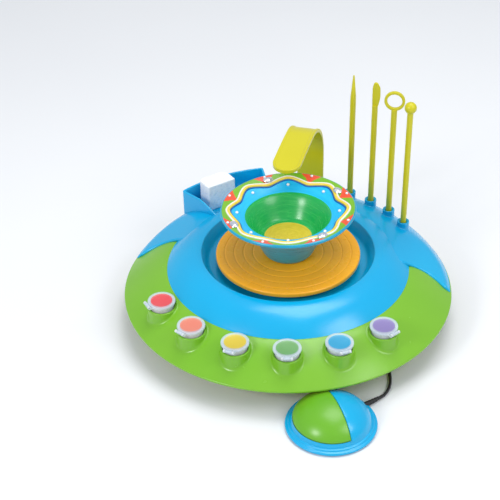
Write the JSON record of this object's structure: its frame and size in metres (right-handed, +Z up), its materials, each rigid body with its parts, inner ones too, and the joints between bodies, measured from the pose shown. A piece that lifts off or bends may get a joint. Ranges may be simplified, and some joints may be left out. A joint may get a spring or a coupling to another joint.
{
  "type": "toy pottery wheel",
  "caption": "Battery pottery wheel with domed round deck, splash ring, turntable, overhead arm, tool sockets, sponge tray, paint pots and corded foot pedal.",
  "frame": {"origin": "on the turntable's axis, at the level of the table that the wheel stands on", "axes": "+Z up along the turntable's axis, -Y towards the player and the paint pots, +X to the player's right"},
  "size_m": [0.32, 0.3623, 0.2],
  "materials": {
    "green_plastic": "glossy moulded",
    "blue_plastic": "glossy moulded",
    "orange_plastic": "satin moulded",
    "yellow_plastic": "satin moulded",
    "black_rubber": "matte",
    "steel": "brushed",
    "brass": "machined",
    "nylon": "matte moulded",
    "dark_plastic": "matte moulded",
    "battery_wrap": "printed wrap with steel ends",
    "clear_cup": "translucent",
    "clear_lid": "translucent",
    "sponge_foam": "open cell foam",
    "painted_clay": "painted earthenware",
    "tie_plastic": "matte",
    "paint_red": "wet paint",
    "paint_salmon": "wet paint",
    "paint_yellow": "wet paint",
    "paint_green": "wet paint",
    "paint_blue": "wet paint",
    "paint_purple": "wet paint"
  },
  "bodies": {
    "base": {"lower_base": "orange_plastic", "rubber_feet": "black_rubber", "base_screws": "steel", "battery_door": "orange_plastic", "door_screw": "steel", "battery_cells": "battery_wrap", "battery_contacts": "steel", "gear_plate": "nylon", "gear_cover": "nylon", "gearbox_screws": "steel", "motor_case": "steel", "gear_axles": "steel", "bearing_bush": "steel", "deck": "green_plastic", "upper_housing": "blue_plastic", "housing_screws": "steel", "pedal_base": "blue_plastic", "pedal_feet": "black_rubber", "pedal_screws": "steel", "pedal_dome": "blue_plastic", "pedal_switch": "dark_plastic", "pedal_spring": "steel", "pedal_strain_relief": "black_rubber", "base_strain_relief": "black_rubber", "pedal_cord": "black_rubber", "cord_coil": "black_rubber", "cord_tie": "tie_plastic"},
    "turntable": {"turntable": "orange_plastic", "drive_spindle": "steel", "output_gear": "nylon"},
    "gear_2": {"compound_gear_2": "nylon"},
    "gear_1": {"compound_gear_1": "nylon"},
    "rotor": {"motor_shaft": "steel", "motor_pinion": "brass"},
    "bowl": {"bowl": "painted_clay"},
    "arm": {"overhead_arm": "yellow_plastic"},
    "sponge": {"sponge": "sponge_foam"},
    "pedal_pad": {"pedal_pad": "green_plastic"},
    "pot_1": {"paint_pot_1": "clear_cup", "paint_1": "paint_red"},
    "lid_1": {"pot_lid_1": "clear_lid"},
    "pot_2": {"paint_pot_2": "clear_cup", "paint_2": "paint_salmon"},
    "lid_2": {"pot_lid_2": "clear_lid"},
    "pot_3": {"paint_pot_3": "clear_cup", "paint_3": "paint_yellow"},
    "lid_3": {"pot_lid_3": "clear_lid"},
    "pot_4": {"paint_pot_4": "clear_cup", "paint_4": "paint_green"},
    "lid_4": {"pot_lid_4": "clear_lid"},
    "pot_5": {"paint_pot_5": "clear_cup", "paint_5": "paint_blue"},
    "lid_5": {"pot_lid_5": "clear_lid"},
    "pot_6": {"paint_pot_6": "clear_cup", "paint_6": "paint_purple"},
    "lid_6": {"pot_lid_6": "clear_lid"},
    "tool_1": {"modelling_tool_1": "yellow_plastic"},
    "tool_2": {"modelling_tool_2": "yellow_plastic"},
    "tool_3": {"modelling_tool_3": "yellow_plastic"},
    "tool_4": {"modelling_tool_4": "yellow_plastic"}
  },
  "joints": [
    {"name": "turntable_spin", "type": "hinge", "parent": "base", "child": "turntable", "pos_m": [0, 0, 0.0695], "axis": [0, 0, 1], "continuous": true},
    {"name": "gear_2_spin", "type": "hinge", "parent": "base", "child": "gear_2", "pos_m": [0, 0.034, 0.04], "axis": [0, 0, 1], "continuous": true},
    {"name": "gear_1_spin", "type": "hinge", "parent": "base", "child": "gear_1", "pos_m": [0.01905, 0.045, 0.04], "axis": [0, 0, 1], "continuous": true},
    {"name": "motor_spin", "type": "hinge", "parent": "base", "child": "rotor", "pos_m": [0.03204, 0.0525, 0.042], "axis": [0, 0, 1], "continuous": true},
    {"name": "bowl_lift", "type": "slide", "parent": "turntable", "child": "bowl", "axis": [0, 0, 1], "range_m": [0, 0.025]},
    {"name": "arm_swing", "type": "hinge", "parent": "base", "child": "arm", "pos_m": [0, 0.127, 0.066], "axis": [0, 0, 1], "range_deg": [-60, 50]},
    {"name": "sponge_lift", "type": "slide", "parent": "base", "child": "sponge", "axis": [0, 0, 1], "range_m": [0, 0.05]},
    {"name": "pedal_press", "type": "slide", "parent": "base", "child": "pedal_pad", "axis": [0, 0, -1], "range_m": [0, 0.003], "stiffness_N_per_m": 600, "springref_m": -0.004, "deforming": ["pedal_spring"]},
    {"name": "pot_1_lift", "type": "slide", "parent": "base", "child": "pot_1", "axis": [0, 0, 1], "range_m": [0, 0.03]},
    {"name": "lid_1_open", "type": "hinge", "parent": "pot_1", "child": "lid_1", "pos_m": [-0.11507, -0.09402, 0.0578], "axis": [0.6327, -0.7744, 0], "range_deg": [0, 125]},
    {"name": "pot_2_lift", "type": "slide", "parent": "base", "child": "pot_2", "axis": [0, 0, 1], "range_m": [0, 0.03]},
    {"name": "lid_2_open", "type": "hinge", "parent": "pot_2", "child": "lid_2", "pos_m": [-0.07531, -0.1281, 0.0578], "axis": [0.8621, -0.5068, 0], "range_deg": [0, 125]},
    {"name": "pot_3_lift", "type": "slide", "parent": "base", "child": "pot_3", "axis": [0, 0, 1], "range_m": [0, 0.03]},
    {"name": "lid_3_open", "type": "hinge", "parent": "pot_3", "child": "lid_3", "pos_m": [-0.02619, -0.14627, 0.0578], "axis": [0.9843, -0.1762, 0], "range_deg": [0, 125]},
    {"name": "pot_4_lift", "type": "slide", "parent": "base", "child": "pot_4", "axis": [0, 0, 1], "range_m": [0, 0.03]},
    {"name": "lid_4_open", "type": "hinge", "parent": "pot_4", "child": "lid_4", "pos_m": [0.02619, -0.14627, 0.0578], "axis": [0.9843, 0.1762, 0], "range_deg": [0, 125]},
    {"name": "pot_5_lift", "type": "slide", "parent": "base", "child": "pot_5", "axis": [0, 0, 1], "range_m": [0, 0.03]},
    {"name": "lid_5_open", "type": "hinge", "parent": "pot_5", "child": "lid_5", "pos_m": [0.07531, -0.1281, 0.0578], "axis": [0.8621, 0.5068, 0], "range_deg": [0, 125]},
    {"name": "pot_6_lift", "type": "slide", "parent": "base", "child": "pot_6", "axis": [0, 0, 1], "range_m": [0, 0.03]},
    {"name": "lid_6_open", "type": "hinge", "parent": "pot_6", "child": "lid_6", "pos_m": [0.11507, -0.09402, 0.0578], "axis": [0.6327, 0.7744, 0], "range_deg": [0, 125]},
    {"name": "tool_1_lift", "type": "slide", "parent": "base", "child": "tool_1", "axis": [0, 0, 1], "range_m": [0, 0.06]},
    {"name": "tool_2_lift", "type": "slide", "parent": "base", "child": "tool_2", "axis": [0, 0, 1], "range_m": [0, 0.06]},
    {"name": "tool_3_lift", "type": "slide", "parent": "base", "child": "tool_3", "axis": [0, 0, 1], "range_m": [0, 0.06]},
    {"name": "tool_4_lift", "type": "slide", "parent": "base", "child": "tool_4", "axis": [0, 0, 1], "range_m": [0, 0.06]}
  ],
  "couplings": [
    {"joint": "gear_2_spin", "follows": "turntable_spin", "ratio": -4.6667},
    {"joint": "gear_1_spin", "follows": "turntable_spin", "ratio": 18.667},
    {"joint": "motor_spin", "follows": "turntable_spin", "ratio": -74.667}
  ]
}
